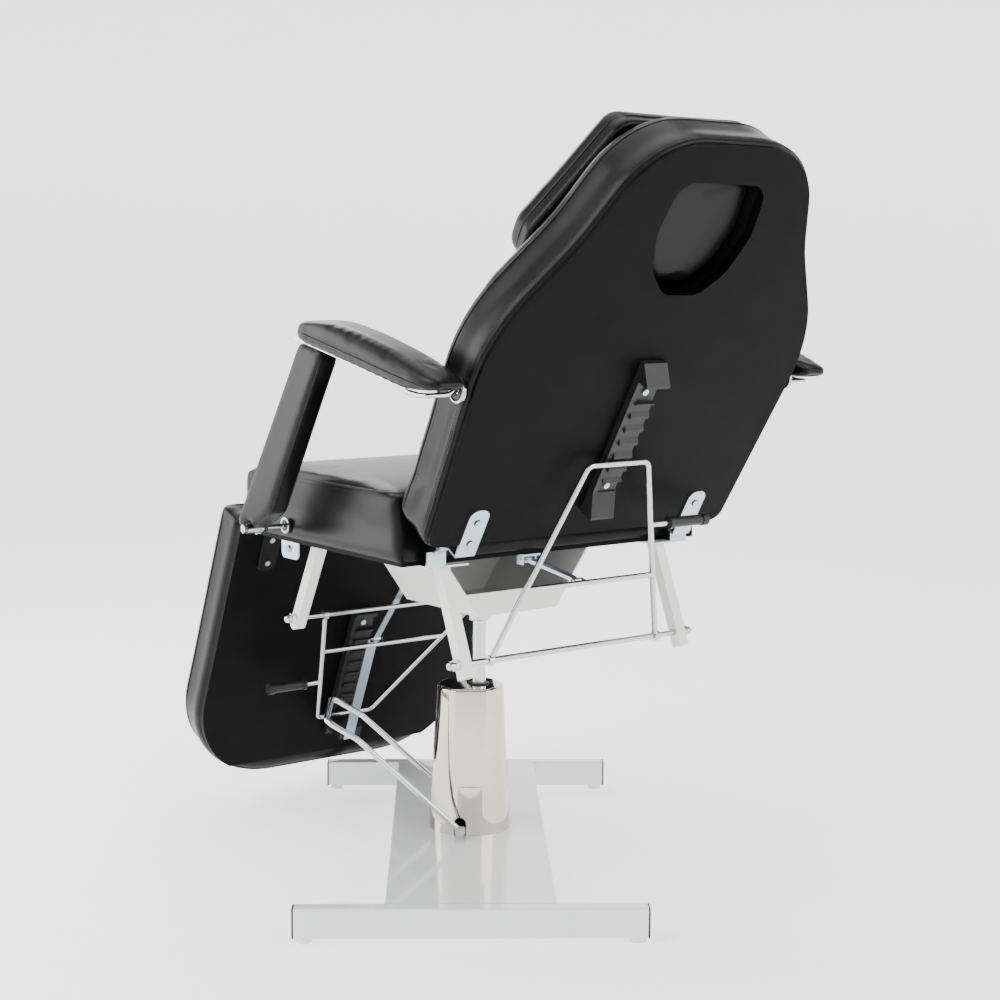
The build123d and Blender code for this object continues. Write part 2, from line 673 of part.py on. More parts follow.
with BuildPart() as back_rack_screws:
    with BuildSketch(BACK.offset(-9)):
        with Locations(rack_screws):
            Circle(5.5)
    extrude(amount=-3.5)
    with BuildSketch(BACK.offset(-9)):
        with Locations(rack_screws):
            Circle(2.2)
    extrude(amount=21)

with BuildPart() as back_arm_pivots:
    round_bar((300, *ARM_REAR), (337, *ARM_REAR), PIN_R)
    round_bar((336, *ARM_REAR), (338.8, *ARM_REAR), 18.5)
    both_sides()

with BuildPart() as face_plug:
    with BuildSketch(BACK.offset(27)):
        face_hole(-1.5)
    extrude(amount=BACK_THICK - 29)
    fillet(face_plug.edges().group_by(Axis(BACK.origin, BACK.z_dir))[0], 8)

with BuildPart() as headrest_pillow:
    with BuildSketch(BACK.offset(BACK_THICK + 1)) as pillow:
        Polygon((240, 445), (241, 508), (141, 692), (-141, 692), (-241, 508), (-240, 445), align=None)
        fillet(pillow.vertices(), 34)
    extrude(amount=59)
    fillet(headrest_pillow.faces().sort_by(Axis(BACK.origin, BACK.z_dir))[-1].edges(), 22)
    fillet(headrest_pillow.faces().sort_by(Axis(BACK.origin, BACK.z_dir))[0].edges(), 10)

# ================================================================ props of both panels
prop_foot, prop_head = 177.0, 62.0
BRACE_R = 4.8


def prop_plane(rod, bar):
    """Plane of a prop: origin on its rod, x across, y towards its far bar."""
    along = Vector(0, bar[0] - rod[0], bar[1] - rod[1])
    return Plane(origin=(0, *rod), x_dir=(1, 0, 0), z_dir=Vector(1, 0, 0).cross(along.normalized()))


def prop_frame(plane, reach, brace_at, handle_at, handle_side, stub, lug_x, lug_pin):
    """Bent-rod prop with two eyes, a brace, a handle stub and a forked lug for its stay."""
    def half(d):
        return prop_foot - (prop_foot - prop_head) * d / reach

    def at(x, d):
        return on_panel(plane, x, d, 0)

    with BuildLine() as hoop:
        FilletPolyline(at(half(6.5), 6.5), at(prop_head, reach), at(-prop_head, reach), at(-half(6.5), 6.5), radius=14)
    with BuildSketch(hoop.line ^ 0) as section:
        Circle(ROD_R)
    sweep(section.sketch, path=hoop.line)
    round_bar(at(-half(brace_at), brace_at), at(half(brace_at), brace_at), BRACE_R)
    round_bar(at(handle_side * half(handle_at), handle_at), at(handle_side * stub, handle_at), BRACE_R)
    brace = at(0, brace_at)[1:]
    for side in (-1, 1):
        with BuildSketch(Plane.YZ.offset(lug_x + side * 10.5 - 1.25)) as lug:
            with BuildLine() as spine:
                Line(brace, lug_pin)
            trace(spine.line, line_width=9)
            with Locations(lug_pin):
                Circle(4.5)
        extrude(lug.sketch, amount=2.5)
    round_bar((lug_x - 13.5, *lug_pin), (lug_x + 13.5, *lug_pin), 2.5)
    for side in (-1, 1):
        round_bar(at(side * (prop_foot - 5), 0), at(side * (prop_foot + 5), 0), 9)
    round_bar(at(-prop_foot - 8, 0), at(-prop_foot + 8, 0), ROD_R + RUNNING, Mode.SUBTRACT)
    round_bar(at(prop_foot - 8, 0), at(prop_foot + 8, 0), ROD_R + RUNNING, Mode.SUBTRACT)


def grip_on(plane, handle_at, x_from, x_to):
    """Moulded grip over the end of a handle stub."""
    step = 1 if x_to > x_from else -1
    round_bar(on_panel(plane, x_from, handle_at, 0), on_panel(plane, x_to - 2 * step, handle_at, 0), 9)
    round_bar(on_panel(plane, x_from, handle_at, 0), on_panel(plane, x_from + 6 * step, handle_at, 0), 11)
    round_bar(on_panel(plane, x_to - 12 * step, handle_at, 0), on_panel(plane, x_to, handle_at, 0), 10.5)


back_reach = sqrt((BACK_BAR[0] - REAR_ROD[0])**2 + (BACK_BAR[1] - REAR_ROD[1])**2)
leg_reach = sqrt((LEG_BAR[0] - FRONT_ROD[0])**2 + (LEG_BAR[1] - FRONT_ROD[1])**2)
BACK_PROP = prop_plane(REAR_ROD, BACK_BAR)
LEG_PROP = prop_plane(FRONT_ROD, LEG_BAR)
back_brace, leg_brace = 121.0, 113.0
back_handle, leg_handle = 216.0, 210.0
back_lug, leg_lug = (293.8, 543.0), (-309.5, 347.0)

with BuildPart() as back_prop_frame:
    prop_frame(BACK_PROP, back_reach, back_brace, back_handle, -1, 141.0, back_lug_x, back_lug)

with BuildPart() as back_prop_grip:
    grip_on(BACK_PROP, back_handle, -141.0, -227.0)

with BuildPart() as leg_prop_frame:
    prop_frame(LEG_PROP, leg_reach, leg_brace, leg_handle, 1, 137.0, leg_anchor[0], leg_lug)

with BuildPart() as leg_prop_grip:
    grip_on(LEG_PROP, leg_handle, 137.0, 217.0)


stay_width = 14.0


def stay(start, end, ridge):
    """Strip with a rolled eye at each end, from a prop's lug pin to its pin under the seat."""
    run = Vector(*end) - Vector(*start)
    along = run.normalized()
    with BuildSketch(Plane(origin=Vector(*start) + along * 4, x_dir=(1, 0, 0), z_dir=run)) as section:
        Rectangle(stay_width, 2)
        if ridge:
            with Locations((-stay_width / 2 + 1, 2), (stay_width / 2 - 1, 2)):
                Rectangle(2, 5)
    extrude(section.sketch, amount=run.length - 8)
    round_bar((start[0] - 7, *start[1:]), (start[0] + 7, *start[1:]), 4.8)
    round_bar((end[0] - 7, *end[1:]), (end[0] + 7, *end[1:]), 5.2)
    round_bar((start[0] - 8, *start[1:]), (start[0] + 8, *start[1:]), 2.5 + RUNNING, Mode.SUBTRACT)
    round_bar((end[0] - 20, *end[1:]), (end[0] + 20, *end[1:]), 3 + RUNNING, Mode.SUBTRACT)


with BuildPart() as back_prop_stay:
    stay((back_lug_x, *back_lug), back_anchor, True)

with BuildPart() as leg_prop_stay:
    stay((leg_anchor[0], *leg_lug), leg_anchor, False)

# ================================================================ leg rest
leg_corner = 190.0
leg_hinge_notch = (228.0, 270.0)


def leg_outline(inset=0.0):
    """Leg rest seen square on: straight sides and two large lower corners."""
    half, foot = LEG_HALF - inset, LEG_LENGTH - inset
    with BuildLine() as outline:
        Polyline((half - 14, -inset), (-half + 14, -inset))
        ThreePointArc((-half + 14, -inset), (-half + 4.1, -inset - 4.1), (-half, -inset - 14))
        Line((-half, -inset - 14), (-half, -foot + leg_corner))
        RadiusArc((-half, -foot + leg_corner), (-half + leg_corner, -foot), -leg_corner)
        Line((-half + leg_corner, -foot), (half - leg_corner, -foot))
        RadiusArc((half - leg_corner, -foot), (half, -foot + leg_corner), -leg_corner)
        Line((half, -foot + leg_corner), (half, -inset - 14))
        ThreePointArc((half, -inset - 14), (half - 4.1, -inset - 4.1), (half - 14, -inset))
    make_face(outline.line)


leg_board_foot = 552.0
leg_bracket_screws = [(side * 242, -s) for side in (-1, 1) for s in (44, 92)]
leg_rack_screw_spots = [(0, -245), (0, -498)]


def leg_board_blank(mode=Mode.ADD):
    with BuildSketch(LEG) as sheet:
        leg_outline(SKIRT)
        with Locations((0, -leg_board_foot - 100)):
            Rectangle(700, 200, mode=Mode.SUBTRACT)
    extrude(sheet.sketch, amount=BOARD, mode=mode)


def hinge_notches(depth):
    for side in (-1, 1):
        with BuildSketch(LEG.offset(-1)) as notch:
            with Locations((side * sum(leg_hinge_notch) / 2, -8)):
                Rectangle(leg_hinge_notch[1] - leg_hinge_notch[0], 44)
        extrude(notch.sketch, amount=depth + 1, mode=Mode.SUBTRACT)


with BuildPart() as leg_board:
    leg_board_blank()
    hinge_notches(23)
    with BuildSketch(LEG):
        with Locations(leg_bracket_screws + leg_rack_screw_spots):
            Circle(2.3)
    extrude(amount=14, mode=Mode.SUBTRACT)

with BuildPart() as leg_cushion:
    with BuildSketch(LEG.offset(1)):
        leg_outline()
    extrude(amount=LEG_THICK - 1)
    fillet(leg_cushion.faces().sort_by(Axis(LEG.origin, LEG.z_dir))[-1].edges(), 24)
    foot_edge = leg_cushion.faces().sort_by(Axis(LEG.origin, LEG.z_dir))[0].edges().filter_by(Axis.X).sort_by(Axis.Z)[0]
    foot_curves = leg_cushion.faces().sort_by(Axis(LEG.origin, LEG.z_dir))[0].edges().filter_by(GeomType.CIRCLE)
    fillet([foot_edge] + [e for e in foot_curves if e.length > 100], 28)
    leg_board_blank(Mode.SUBTRACT)
    hinge_notches(23)

with BuildPart() as leg_hinge_brackets:
    with BuildSketch(LEG):
        with Locations((242, -67)):
            plate = Rectangle(38, 82)
        fillet(plate.vertices().group_by(Axis.Y)[0], 12)
        with Locations((242, -44), (242, -92)):
            Circle(2.3, mode=Mode.SUBTRACT)
    extrude(amount=-SHEET)
    leg_knuckle = LEG_SIDE.to_local_coords(Vector(0, *LEG_HINGE))
    folded_strip(LEG_SIDE.offset(far_knuckle_x[0]), ((32, 1.5), (27, 1.5), (leg_knuckle.X, leg_knuckle.Y)), 14.5)
    knuckle(LEG_HINGE, *far_knuckle_x)
    knuckle(LEG_HINGE, 230, 255, Mode.SUBTRACT, PIN_R + RUNNING)
    both_sides()

leg_notches = [451.0 - NOTCH_PITCH * i for i in range(8)]

with BuildPart() as leg_rack:
    rack_side_view(LEG_SIDE, ((222, 0), (505, 0), (505, 9), (222, 9)), -rack_half, rack_half, 1)
    rack_side_view(LEG_SIDE, ((222, 5), (230, 5), (230, 19), (222, 19)), -rack_half, rack_half, 1)
    rack_side_view(LEG_SIDE, ((260, 5), (463, 5), (463, 18), (260, 18)), -rack_half, rail_from, 1)
    rack_side_view(LEG_SIDE, ((230, 5), (463, 5), (463, 13), (230, 13)), rail_from, rack_half, 1)
    rack_side_view(LEG_SIDE, ((462, 5), (490, 5), (486, 56), (462, 56)), -rack_half, rack_half, 1)
    saw_tooth_cuts(LEG_SIDE, leg_notches, 13.5, 18, -rack_half, rail_from, 1)
    with BuildSketch(LEG):
        with Locations(leg_rack_screw_spots):
            Circle(2.4)
    extrude(amount=-20, mode=Mode.SUBTRACT)
    with BuildSketch(LEG.offset(-30)):
        with Locations((4, -474)):
            Circle(2.4)
    extrude(amount=-30, mode=Mode.SUBTRACT)

with BuildPart() as leg_rack_screws:
    with BuildSketch(LEG.offset(-9)):
        with Locations(leg_rack_screw_spots):
            Circle(5.5)
    extrude(amount=-3.5)
    with BuildSketch(LEG.offset(-9)):
        with Locations(leg_rack_screw_spots):
            Circle(2.2)
    extrude(amount=21)
    with BuildSketch(LEG.offset(-SHEET)):
        with Locations(leg_bracket_screws):
            Circle(5)
    extrude(amount=-2.6)
    with BuildSketch(LEG.offset(-SHEET)):
        with Locations(leg_bracket_screws):
            Circle(2.2)
    extrude(amount=15)

with BuildPart() as keeper_strap:
    with BuildSketch(LEG.offset(-56)):
        with Locations((4, -366.5)):
            strap = Rectangle(22, 239)
        fillet(strap.vertices().group_by(Axis.Y)[-1], 10.5)
        with Locations((4, -259), (4, -474)):
            Circle(2.4, mode=Mode.SUBTRACT)
    extrude(amount=-SHEET)

with BuildPart() as keeper_screw:
    with BuildSketch(LEG.offset(-59)):
        with Locations((4, -474)):
            Circle(5.5)
    extrude(amount=-3.2)
    with BuildSketch(LEG.offset(-59)):
        with Locations((4, -474)):
            Circle(2.2)
    extrude(amount=24)

# ================================================================ arms
post_x, pad_x = (358.0, 392.0), (344.0, 412.0)
bar_x = (372.0, 378.0)
sleeve_x = (366.0, 396.0)
pad_slope = -0.201
pad_plane_y, pad_plane_z = 170.0, 907.0
flat_from, flat_z = 352.0, 870.4
strip_thick = 3.0
strip_x = (350.0, 400.0)


def underside(y):
    return pad_plane_z + pad_slope * (y - pad_plane_y)


def post_bar(mode=Mode.ADD):
    """Flat steel bar between the arm's foot and its elbow."""
    span = Vector(ELBOW[0] - ARM_FOOT[0], ELBOW[1] - ARM_FOOT[1])
    tilt = degrees(atan2(span.Y, span.X))
    with BuildSketch(Plane.YZ.offset(bar_x[0])) as flat:
        with Locations(Location(((ARM_FOOT[0] + ELBOW[0]) / 2, (ARM_FOOT[1] + ELBOW[1]) / 2, 0), (0, 0, tilt))):
            SlotCenterToCenter(span.length, 22)
    extrude(flat.sketch, amount=bar_x[1] - bar_x[0], mode=mode)


def post_frame():
    post_bar()
    round_bar((sleeve_x[0], *ARM_FOOT), (sleeve_x[1], *ARM_FOOT), 7.5)
    round_bar((sleeve_x[0] - 1, *ARM_FOOT), (sleeve_x[1] + 1, *ARM_FOOT), PIN_R + RUNNING, Mode.SUBTRACT)
    round_bar((345, *ELBOW), (bar_x[0], *ELBOW), PIN_R)
    round_bar((345, *ELBOW), (348.6, *ELBOW), 8)


def post_cushion():
    with BuildSketch(Plane.YZ.offset(post_x[0])) as shell:
        with BuildLine():
            Polyline((32.2, 921.5), (-168, 619), (-150, 596), (-137, 594), (-53, 640), (104, 899))
            RadiusArc((104, 899), (99, 918.5), -13)
            Line((99, 918.5), (51.7, 929.6))
            ThreePointArc((51.7, 929.6), (39.0, 927.7), (32.2, 921.5))
        make_face()
        with Locations(ARM_FOOT):
            Circle(10, mode=Mode.SUBTRACT)
    extrude(shell.sketch, amount=post_x[1] - post_x[0])
    post_bar(Mode.SUBTRACT)
    round_bar((post_x[0] - 1, *ELBOW), (bar_x[0], *ELBOW), PIN_R + 0.6, Mode.SUBTRACT)


def pad_strip(mode=Mode.ADD):
    """Steel strip let into the underside of a pad."""
    rise = strip_thick * sqrt(1 + pad_slope**2)
    y_from, y_to = 42.0, flat_from
    side_profile(
        ((y_from, underside(y_from)), (y_to, underside(y_to)), (y_to, underside(y_to) + rise),
         (y_from, underside(y_from) + rise)),
        strip_x[0], strip_x[1], mode,
    )


def pad_frame():
    pad_strip()
    side_profile(((36, 911), (60, 911), (60, underside(60) + 1), (43, underside(43) + 1), (36, 924)), 350, 353.5)
    round_bar((350, *ELBOW), (353.5, *ELBOW), 12)
    round_bar((349, *ELBOW), (355, *ELBOW), PIN_R + RUNNING, Mode.SUBTRACT)
    with BuildLine() as wire:
        FilletPolyline(
            (341, 397, 868), (344.5, 397, 868), (355, 397, 862.6), (393.5, 397, 862.6), (394, 378, 862.6),
            (394, 350, 866), (394, 326, underside(326) - 1.1), radius=(8, 12, 6, 20, 20),
        )
    with BuildSketch(wire.line ^ 0) as section:
        Circle(3.8)
    sweep(section.sketch, path=wire.line)


def pad_cushion():
    with BuildSketch(Plane.YZ.offset(pad_x[0])) as shell:
        with BuildLine():
            Polyline((33, 956), (33, underside(33)), (flat_from, underside(flat_from)), (437, flat_z), (437, 885))
            Spline((437, 885), (390, 903), (295, 932), (185, 955), (99, 963), (33, 956),
                   tangents=[(-1, 0.32), (-1, -0.2)])
        make_face()
        fillet(shell.vertices().sort_by(Axis.X)[:2], 9)
        fillet(shell.vertices().sort_by(Axis.X)[-1:], 7.5)
    extrude(shell.sketch, amount=pad_x[1] - pad_x[0])


with BuildPart() as arm_post_frame_left:
    post_frame()

with BuildPart() as arm_post_cushion_left:
    post_cushion()

with BuildPart() as arm_pad_frame_left:
    pad_frame()

with BuildPart() as arm_pad_cushion_left:
    pad_cushion()
    fillet(arm_pad_cushion_left.edges().group_by(Axis.X)[0], 6)
    fillet(arm_pad_cushion_left.edges().group_by(Axis.X)[-1], 6)
    pad_strip(Mode.SUBTRACT)

with BuildPart() as arm_post_frame_right:
    add(mirror(arm_post_frame_left.part, about=Plane.YZ, mode=Mode.PRIVATE))

with BuildPart() as arm_post_cushion_right:
    add(mirror(arm_post_cushion_left.part, about=Plane.YZ, mode=Mode.PRIVATE))

with BuildPart() as arm_pad_frame_right:
    add(mirror(arm_pad_frame_left.part, about=Plane.YZ, mode=Mode.PRIVATE))

with BuildPart() as arm_pad_cushion_right:
    add(mirror(arm_pad_cushion_left.part, about=Plane.YZ, mode=Mode.PRIVATE))

# ================================================================ export
NODES = {
    "base_plate": base_plate, "cross_bars": cross_bars, "end_caps": end_caps, "floor_pads": floor_pads,
    "pump_body": pump_body, "pump_cover": pump_cover, "pump_bolts": pump_bolts, "gland_ring": gland_ring,
    "pedal_shaft": pedal_shaft, "piston_rod": piston_rod, "head_collar": head_collar, "swivel_nut": swivel_nut,
    "pedal_frame": pedal_frame, "seat_tray": seat_tray, "tray_bolts": tray_bolts, "seat_board": seat_board,
    "seat_cushion": seat_cushion, "rear_legs": rear_legs, "front_legs": front_legs, "cross_rods": cross_rods,
    "cap_nuts": cap_nuts, "back_hinge_arms": back_hinge_arms, "leg_hinge_arms": leg_hinge_arms,
    "hinge_pins": hinge_pins, "arm_bolts": arm_bolts, "arm_washers": arm_washers, "side_tabs": side_tabs,
    "tab_screws": tab_screws, "link_anchors": link_anchors, "back_board": back_board,
    "back_cushion": back_cushion, "back_hinge_brackets": back_hinge_brackets,
    "back_hinge_screws": back_hinge_screws, "back_rack": back_rack, "back_rack_screws": back_rack_screws,
    "back_arm_pivots": back_arm_pivots, "face_plug": face_plug, "headrest_pillow": headrest_pillow,
    "back_prop_frame": back_prop_frame, "back_prop_grip": back_prop_grip, "back_prop_stay": back_prop_stay,
    "leg_board": leg_board, "leg_cushion": leg_cushion, "leg_hinge_brackets": leg_hinge_brackets,
    "leg_rack": leg_rack, "leg_rack_screws": leg_rack_screws, "keeper_strap": keeper_strap,
    "keeper_screw": keeper_screw, "leg_prop_frame": leg_prop_frame, "leg_prop_grip": leg_prop_grip,
    "leg_prop_stay": leg_prop_stay, "arm_post_frame_left": arm_post_frame_left,
    "arm_post_cushion_left": arm_post_cushion_left, "arm_pad_frame_left": arm_pad_frame_left,
    "arm_pad_cushion_left": arm_pad_cushion_left, "arm_post_frame_right": arm_post_frame_right,
    "arm_post_cushion_right": arm_post_cushion_right, "arm_pad_frame_right": arm_pad_frame_right,
    "arm_pad_cushion_right": arm_pad_cushion_right,
}
for node, built in NODES.items():
    built.part.label = node
    export_step(built.part, f"parts/{node}.step")
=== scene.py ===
import itertools
import json
import math

import bmesh
import bpy
import numpy as np
from mathutils import Matrix, Vector, noise


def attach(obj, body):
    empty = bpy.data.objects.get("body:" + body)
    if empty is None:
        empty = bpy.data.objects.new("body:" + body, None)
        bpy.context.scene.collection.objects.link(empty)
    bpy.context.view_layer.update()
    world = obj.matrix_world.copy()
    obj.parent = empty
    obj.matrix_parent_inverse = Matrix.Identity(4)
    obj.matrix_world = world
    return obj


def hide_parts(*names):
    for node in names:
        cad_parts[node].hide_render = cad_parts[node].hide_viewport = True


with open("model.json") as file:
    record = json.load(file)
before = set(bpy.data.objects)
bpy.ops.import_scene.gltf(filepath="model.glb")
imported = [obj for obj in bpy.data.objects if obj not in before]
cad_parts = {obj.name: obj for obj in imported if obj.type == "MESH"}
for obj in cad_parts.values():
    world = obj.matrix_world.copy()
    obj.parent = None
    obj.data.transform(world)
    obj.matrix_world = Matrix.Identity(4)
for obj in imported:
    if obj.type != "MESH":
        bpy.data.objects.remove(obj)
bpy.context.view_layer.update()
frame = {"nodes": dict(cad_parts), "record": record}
NODES = frame["nodes"]

# ---------------------------------------------------------------- planes of the padded panels, metres
BACK_LEAN = math.radians(30.08)
BACK_ORIGIN = Vector((0.0, 0.2741, 0.6106))
BACK_OUT = Vector((0.0, -math.cos(BACK_LEAN), math.sin(BACK_LEAN)))
BACK_UP = Vector((0.0, math.sin(BACK_LEAN), math.cos(BACK_LEAN)))
LEG_LEAN = math.radians(22.5)
LEG_ORIGIN = Vector((0.0, -0.2919, 0.597))
LEG_UP = Vector((0.0, math.sin(LEG_LEAN), math.cos(LEG_LEAN)))
LEG_OUT = Vector((0.0, -math.cos(LEG_LEAN), math.sin(LEG_LEAN)))
SEAT_TOP_SEAM = 0.693

# ---------------------------------------------------------------- armrests, metres
PAD_SLOPE = 0.201        # fall of the armrest's underside per metre towards the back
PAD_FRONT_Y, PAD_FRONT_Z = 0.170, 0.907   # a point on that underside
PAD_LEVEL_Y, PAD_LEVEL_Z = 0.352, 0.8704  # where its rear end turns level, and its height there
PAD_MID_X = 0.376
PIVOT = (0.3395, 0.397, 0.868)            # centre of the left arm pivot's ring
RING_RADIUS = 0.0165


# ---------------------------------------------------------------- materials
def new_material(name):
    mat = bpy.data.materials.new(name)
    mat.use_nodes = True
    nodes, links = mat.node_tree.nodes, mat.node_tree.links
    return mat, nodes, links, nodes["Principled BSDF"]


def ramp(nodes, links, source, stops):
    r = nodes.new("ShaderNodeValToRGB")
    while len(r.color_ramp.elements) < len(stops):
        r.color_ramp.elements.new(0.5)
    for element, (at, colour) in zip(r.color_ramp.elements, stops):
        element.position = at
        element.color = (*colour, 1.0)
    links.new(source, r.inputs["Fac"])
    return r.outputs["Color"]


def grey(v):
    return (v, v, v)


def coords(nodes):
    return nodes.new("ShaderNodeTexCoord").outputs["Object"]


def noise_of(nodes, links, vector, scale, detail=3.0, rough=0.55):
    n = nodes.new("ShaderNodeTexNoise")
    n.inputs["Scale"].default_value = scale
    n.inputs["Detail"].default_value = detail
    n.inputs["Roughness"].default_value = rough
    links.new(vector, n.inputs["Vector"])
    return n.outputs["Fac"]


def bump(nodes, links, height, strength, distance, below=None):
    b = nodes.new("ShaderNodeBump")
    b.inputs["Strength"].default_value = strength
    b.inputs["Distance"].default_value = distance
    links.new(height, b.inputs["Height"])
    if below is not None:
        links.new(below, b.inputs["Normal"])
    return b.outputs["Normal"]


def spread(nodes, links, source, low, high):
    m = nodes.new("ShaderNodeMapRange")
    m.inputs["To Min"].default_value = low
    m.inputs["To Max"].default_value = high
    links.new(source, m.inputs["Value"])
    return m.outputs["Result"]


def vinyl(name, tone=0.0025, rough=(0.27, 0.40), grain=0.20):
    """Black coated fabric with a fine leather grain and soft creases."""
    mat, nodes, links, shader = new_material(name)
    at = coords(nodes)
    cloudy = noise_of(nodes, links, at, 9.0, 4.0)
    fine = noise_of(nodes, links, at, 420.0, 3.0)
    cells = nodes.new("ShaderNodeTexVoronoi")
    cells.feature = "DISTANCE_TO_EDGE"
    cells.inputs["Scale"].default_value = 650.0
    links.new(at, cells.inputs["Vector"])
    colour = ramp(nodes, links, cloudy, [(0.3, grey(tone * 0.8)), (0.7, grey(tone * 1.25))])
    links.new(colour, shader.inputs["Base Color"])
    links.new(spread(nodes, links, cloudy, *rough), shader.inputs["Roughness"])
    shader.inputs["Specular IOR Level"].default_value = 0.13
    shader.inputs["Coat Weight"].default_value = 0.06
    shader.inputs["Coat Roughness"].default_value = 0.22
    first = bump(nodes, links, cells.outputs["Distance"], grain, 0.0004)
    second = bump(nodes, links, fine, grain * 0.7, 0.0003, first)
    links.new(bump(nodes, links, cloudy, 0.10, 0.004, second), shader.inputs["Normal"])
    return mat


def cloth_lining(name):
    """Thin black lining cloth stretched over the boards."""
    mat, nodes, links, shader = new_material(name)
    at = coords(nodes)
    cloudy = noise_of(nodes, links, at, 12.0)
    fine = noise_of(nodes, links, at, 900.0, 2.0)
    colour = ramp(nodes, links, cloudy, [(0.3, grey(0.0016)), (0.7, grey(0.0028))])
    links.new(colour, shader.inputs["Base Color"])
    links.new(spread(nodes, links, fine, 0.36, 0.50), shader.inputs["Roughness"])
    shader.inputs["Specular IOR Level"].default_value = 0.05
    links.new(bump(nodes, links, fine, 0.25, 0.0004), shader.inputs["Normal"])
    return mat


def metal(name, colour, rough, wear=0.25, stains=0.06):
    """Bare or plated metal with faint stains and polishing marks."""
    mat, nodes, links, shader = new_material(name)
    at = coords(nodes)
    cloudy = noise_of(nodes, links, at, 22.0, 4.0)
    fine = noise_of(nodes, links, at, 520.0, 3.0)
    dark = tuple(c * (1 - stains) for c in colour)
    links.new(ramp(nodes, links, cloudy, [(0.32, dark), (0.68, colour)]), shader.inputs["Base Color"])
    shader.inputs["Metallic"].default_value = 1.0
    worn = spread(nodes, links, cloudy, rough * (1 - wear), rough * (1 + wear))
    links.new(worn, shader.inputs["Roughness"])
    links.new(bump(nodes, links, fine, 0.05, 0.0002), shader.inputs["Normal"])
    return mat


def paint(name, colour, rough, coat=0.0, peel=0.05, specular=0.5):
    """Sprayed paint or powder coat with a slight orange peel."""
    mat, nodes, links, shader = new_material(name)
    at = coords(nodes)
    cloudy = noise_of(nodes, links, at, 6.0, 3.0)
    peeling = noise_of(nodes, links, at, 260.0, 2.0)
    dull = tuple(c * 0.95 for c in colour)
    links.new(ramp(nodes, links, cloudy, [(0.35, dull), (0.65, colour)]), shader.inputs["Base Color"])
    links.new(spread(nodes, links, cloudy, rough * 0.8, rough * 1.25), shader.inputs["Roughness"])
    shader.inputs["Specular IOR Level"].default_value = specular
    shader.inputs["Coat Weight"].default_value = coat
    shader.inputs["Coat Roughness"].default_value = 0.06
    links.new(bump(nodes, links, peeling, peel, 0.0004), shader.inputs["Normal"])
    return mat


def plastic(name, tone, rough, texture=0.2):
    """Moulded plastic with a fine spark-eroded texture."""
    mat, nodes, links, shader = new_material(name)
    at = coords(nodes)
    cloudy = noise_of(nodes, links, at, 30.0)
    fine = noise_of(nodes, links, at, 1200.0, 2.0)
    links.new(ramp(nodes, links, cloudy, [(0.3, grey(tone * 0.85)), (0.7, grey(tone * 1.2))]),
              shader.inputs["Base Color"])
    links.new(spread(nodes, links, cloudy, rough * 0.85, rough * 1.15), shader.inputs["Roughness"])
    shader.inputs["Specular IOR Level"].default_value = 0.3
    links.new(bump(nodes, links, fine, texture, 0.0003), shader.inputs["Normal"])
    return mat


VINYL = vinyl("vinyl_main")
PIPING = vinyl("vinyl_seam", 0.004, (0.30, 0.42), 0.12)
THREAD = plastic("sewing_thread", 0.012, 0.6, 0.3)
FINISH = {
    "black_vinyl": VINYL,
    "board_wrap": cloth_lining("lining_cloth"),
    "grey_powder": paint("powder_light_grey", (0.74, 0.75, 0.76), 0.14, coat=0.6),
    "white_paint": paint("paint_off_white", (0.80, 0.80, 0.78), 0.30, coat=0.25),
    "warm_chrome": metal("chrome_warm", (0.56, 0.53, 0.46), 0.06),
    "bright_chrome": metal("chrome_bright", (0.56, 0.57, 0.58), 0.12),
    "zinc": metal("zinc_bluish", (0.52, 0.60, 0.66), 0.30, stains=0.12),
    "steel_dark": paint("pump_grey", (0.045, 0.045, 0.05), 0.4),
    "black_paint": paint("paint_black", (0.004, 0.004, 0.0045), 0.35, specular=0.15),
    "black_plastic": plastic("plastic_black", 0.012, 0.38),
    "pad_rubber": plastic("pad_rubber_white", 0.70, 0.55),
}

slot_of = {part["node"]: part["material_slot"] for part in frame["record"]["subparts"]}
for name, obj in NODES.items():
    obj.data.materials.clear()
    obj.data.materials.append(FINISH[slot_of[name]])


# ---------------------------------------------------------------- upholstery, metres
RIM_DEPTH = 0.012     # of a board's rear edge, which is moved to lie just behind the cushion's rim
BOARD_INSET = 0.004   # how far the rim stands behind the board
BOARD_OVERLAP = 0.002   # how far the rest of the board reaches into the cushion
LOOP_PITCH = 0.006    # between the points of a seam


def frame_of(origin, out, up):
    """Matrix from a panel's own axes (across, up the panel, out of its front) to the row frame."""
    across = up.cross(out)
    return Matrix.Translation(origin) @ Matrix((across, up, out)).transposed().to_4x4()


BACK_FRAME = frame_of(BACK_ORIGIN, BACK_OUT, BACK_UP)
LEG_FRAME = frame_of(LEG_ORIGIN, LEG_OUT, LEG_UP)
LEVEL = Matrix.Identity(4)


def add_object(name, data):
    obj = bpy.data.objects.new(name, data)
    bpy.context.scene.collection.objects.link(obj)
    return obj


def mesh_of(name, verts, faces):
    data = bpy.data.meshes.new(name)
    data.from_pydata([tuple(v) for v in verts], [], faces)
    data.update()
    return data


def coordinates(data, key="co"):
    values = np.empty(len(data.vertices) * 3)
    data.vertices.foreach_get(key, values)
    return values.reshape(-1, 3)


def set_coordinates(obj, co):
    obj.data.vertices.foreach_set("co", co.reshape(-1))
    obj.data.update()


def apply_modifiers(obj):
    depsgraph = bpy.context.evaluated_depsgraph_get()
    data = bpy.data.meshes.new_from_object(obj.evaluated_get(depsgraph))
    obj.modifiers.clear()
    old = obj.data
    obj.data = data
    bpy.data.meshes.remove(old)


def step(low, high, value):
    t = np.clip((value - low) / (high - low), 0.0, 1.0)
    return t * t * (3 - 2 * t)


